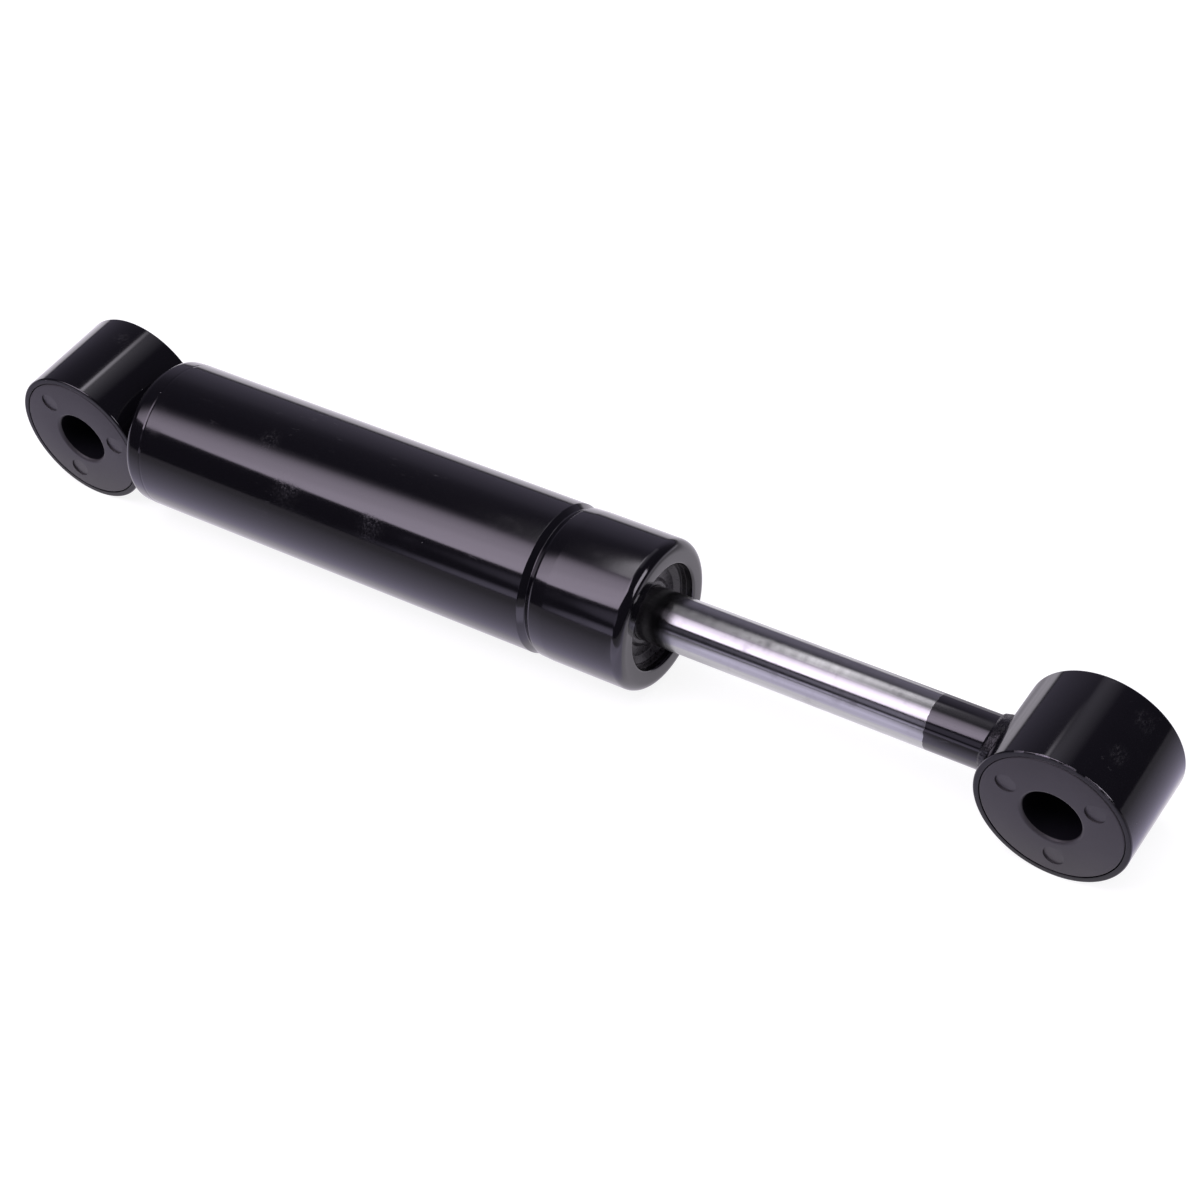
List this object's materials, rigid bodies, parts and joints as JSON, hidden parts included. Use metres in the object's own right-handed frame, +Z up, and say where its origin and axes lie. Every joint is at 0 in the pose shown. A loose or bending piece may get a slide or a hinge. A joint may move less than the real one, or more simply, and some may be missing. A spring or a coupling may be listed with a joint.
{
  "type": "gas spring",
  "caption": "Short gas spring with a welded, bushed eye at each end, a rolled black tube and a chromed rod that slides in and turns.",
  "frame": {"origin": "centre of the tube eye's bore, with the spring fully extended", "axes": "+X along the rod, from the tube eye to the rod eye; +Y along the eye bores; +Z up, with the spring lying on its tube and eyes"},
  "size_m": [0.233, 0.028, 0.028],
  "materials": {
    "black_enamel": "gloss black enamel",
    "hard_chrome": "ground and polished, last 12 mm at the eye masked in black enamel",
    "bushing_plastic": "satin dark grey",
    "seal_rubber": "smooth moulded",
    "bumper_rubber": "smooth moulded",
    "plain_steel": "turned",
    "spring_steel": "stamped and blued",
    "guide_metal": "turned",
    "sintered_iron": "sintered",
    "bush_bronze": "bronze lining",
    "ring_plastic": "filled low-friction plastic"
  },
  "bodies": {
    "cylinder": {"cylinder_tube": "black_enamel", "end_plug": "black_enamel", "end_plug_seal": "seal_rubber", "tube_eye_ring": "black_enamel", "tube_eye_bushing": "bushing_plastic", "tube_eye_weld": "black_enamel", "rod_guide": "guide_metal", "guide_bush": "bush_bronze", "guide_seal": "seal_rubber", "rod_seal": "seal_rubber", "seal_spacer": "plain_steel", "seal_cap": "seal_rubber"},
    "separator": {"separator_piston": "guide_metal", "separator_seal": "seal_rubber"},
    "piston_band": {"piston_ring": "ring_plastic"},
    "rod": {"piston_rod": "hard_chrome", "piston_nut": "plain_steel", "piston_washer": "plain_steel", "compression_disc": "spring_steel", "piston": "sintered_iron", "rebound_disc": "spring_steel", "rebound_stop": "plain_steel", "rebound_bumper": "bumper_rubber", "rod_eye_weld": "black_enamel", "rod_eye_ring": "black_enamel", "rod_eye_bushing": "bushing_plastic"}
  },
  "joints": [
    {"name": "rod_slide", "type": "slide", "parent": "cylinder", "child": "piston_band", "axis": [-1, 0, 0], "range_m": [0, 0.045], "stiffness_N_per_m": 1250, "springref_m": -0.08},
    {"name": "rod_turn", "type": "hinge", "parent": "piston_band", "child": "rod", "pos_m": [0.0977, 0, 0], "axis": [1, 0, 0], "continuous": true},
    {"name": "separator_slide", "type": "slide", "parent": "cylinder", "child": "separator", "axis": [-1, 0, 0], "range_m": [0, 0.0073]}
  ],
  "couplings": [
    {"joint": "separator_slide", "follows": "rod_slide", "ratio": 0.16}
  ]
}
